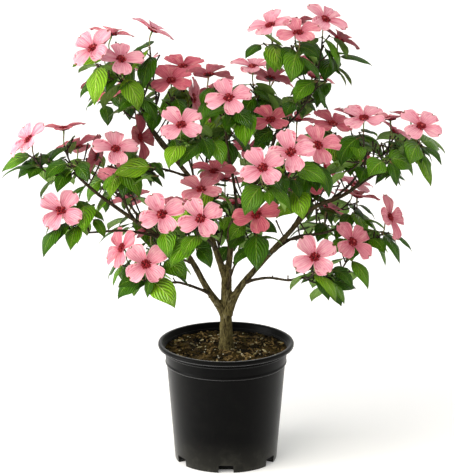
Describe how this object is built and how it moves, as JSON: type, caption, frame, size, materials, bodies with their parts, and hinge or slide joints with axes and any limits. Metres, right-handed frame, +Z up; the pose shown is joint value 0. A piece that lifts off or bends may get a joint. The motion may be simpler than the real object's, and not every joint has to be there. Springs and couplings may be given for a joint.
{
  "type": "potted flowering dogwood tree",
  "caption": "Young flowering dogwood tree with pink four-bract blooms and drooping green leaves, standing in a round black nursery pot.",
  "frame": {"origin": "middle of the pot's flat underside, on the ground", "axes": "+Z up along the trunk, -Y towards the front of the plant, +X to the right as seen from the front"},
  "size_m": [0.8317, 0.5712, 0.8741],
  "materials": {
    "pot_plastic": "black moulded polypropylene, satin",
    "potting_mix": "moist bark and peat mix, rough",
    "bark": "young grey-brown bark",
    "foliage": "green leaf, faintly glossy",
    "bract": "pink bract, matt",
    "flower_button": "dark red flower head"
  },
  "bodies": {
    "root": {"pot": "pot_plastic", "soil": "potting_mix", "trunk": "bark", "left_bough": "bark", "right_bough": "bark", "left_leader": "bark", "right_leader": "bark", "left_low_branch": "bark", "left_mid_branch": "bark", "left_rise_branch": "bark", "left_upper_branch": "bark", "centre_left_branch": "bark", "inner_left_branch": "bark", "low_centre_left_branch": "bark", "low_centre_branch": "bark", "top_centre_branch": "bark", "centre_right_branch": "bark", "inner_right_branch": "bark", "right_low_branch": "bark", "right_outer_low_branch": "bark", "right_mid_branch": "bark", "right_upper_branch": "bark", "back_upper_left_branch": "bark", "back_centre_left_branch": "bark", "back_far_left_branch": "bark", "back_low_left_branch": "bark", "back_low_centre_branch": "bark", "back_upper_right_branch": "bark", "back_centre_right_branch": "bark", "back_far_right_branch": "bark", "back_low_right_branch": "bark", "far_left_mass": "foliage", "upper_left_mass": "foliage", "upper_right_mass": "foliage", "far_right_mass": "foliage", "low_left_mass": "foliage", "mid_left_mass": "foliage", "rise_left_mass": "foliage", "upper_mid_left_mass": "foliage", "centre_left_mass": "foliage", "inner_left_mass": "foliage", "low_centre_left_mass": "foliage", "low_centre_mass": "foliage", "top_centre_mass": "foliage", "centre_right_mass": "foliage", "inner_right_mass": "foliage", "low_right_mass": "foliage", "outer_low_right_mass": "foliage", "mid_right_mass": "foliage", "upper_mid_right_mass": "foliage", "back_upper_left_mass": "foliage", "back_centre_left_mass": "foliage", "back_far_left_mass": "foliage", "back_low_left_mass": "foliage", "back_low_centre_mass": "foliage", "back_upper_right_mass": "foliage", "back_centre_right_mass": "foliage", "back_far_right_mass": "foliage", "back_low_right_mass": "foliage"}
  },
  "joints": []
}
